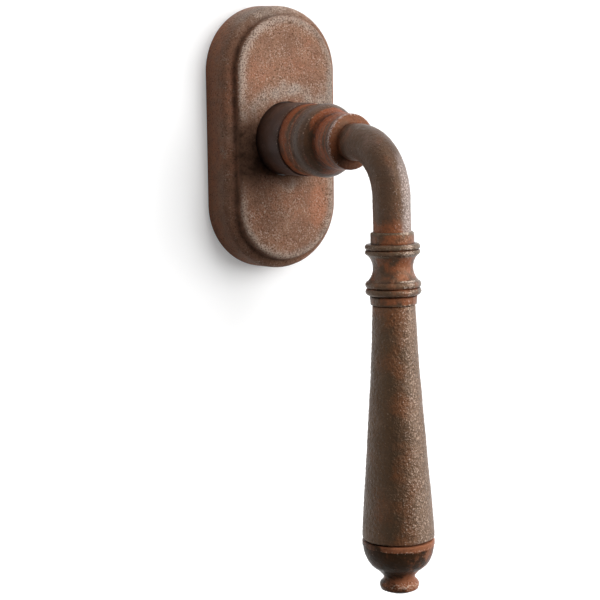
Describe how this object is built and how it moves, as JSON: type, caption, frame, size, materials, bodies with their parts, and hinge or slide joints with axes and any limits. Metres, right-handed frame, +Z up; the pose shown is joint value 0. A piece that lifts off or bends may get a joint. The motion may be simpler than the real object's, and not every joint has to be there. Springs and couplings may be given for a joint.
{
  "type": "tilt and turn window handle",
  "caption": "Tilt and turn window handle with an oval rose, a ringed neck and a tapered drop grip, square spindle and fixing screws behind.",
  "frame": {"origin": "on the spindle axis, in the plane of the sash face that the base plate rests on", "axes": "-Y out into the room, +Y into the sash along the spindle, +Z up; at rest the grip hangs down, the closed position"},
  "size_m": [0.0352, 0.1073, 0.1457],
  "materials": {
    "rose_iron": "sand-cast iron with a brown rust patina and worn pale edges",
    "sleeve_iron": "smooth dark oxide",
    "neck_iron": "red-brown rust patina over grey iron, waxed",
    "lever_iron": "grey-brown rust patina, waxed",
    "collar_iron": "orange-brown rust patina, waxed",
    "grip_iron": "hammered, pitted, brown rust patina, waxed",
    "finial_iron": "red-brown rust patina, waxed",
    "base_zinc": "dull grey zinc die casting, stood in for by the density of cast iron",
    "bush_plastic": "natural acetal",
    "spring_steel": "blued spring steel",
    "plated_steel": "zinc plated"
  },
  "bodies": {
    "base": {"base_plate": "base_zinc", "bearing_sleeve": "sleeve_iron", "journal_bush": "bush_plastic", "thrust_washer": "bush_plastic", "detent_spring_right": "spring_steel", "detent_spring_left": "spring_steel", "spring_retainer": "plated_steel", "retainer_screws": "plated_steel", "fixing_screw_upper": "plated_steel", "fixing_screw_lower": "plated_steel", "cover_clip_upper": "spring_steel", "cover_clip_lower": "spring_steel", "clip_rivets": "plated_steel"},
    "cover": {"rose_cover": "rose_iron"},
    "handle": {"handle_neck": "neck_iron", "lever_arm": "lever_iron", "square_spindle": "plated_steel", "spindle_pin": "spring_steel", "detent_cam": "plated_steel", "retaining_ring": "spring_steel", "disc_spring": "spring_steel", "grip_collar": "collar_iron", "grip_sleeve": "grip_iron", "grip_finial": "finial_iron"}
  },
  "joints": [
    {"name": "handle_turn", "type": "hinge", "parent": "base", "child": "handle", "pos_m": [0, 0, 0], "axis": [0, -1, 0], "range_deg": [0, 180], "deforming": ["detent_spring_right", "detent_spring_left"]},
    {"name": "cover_lift", "type": "slide", "parent": "base", "child": "cover", "axis": [0, -1, 0], "range_m": [0, 0.0105]}
  ]
}
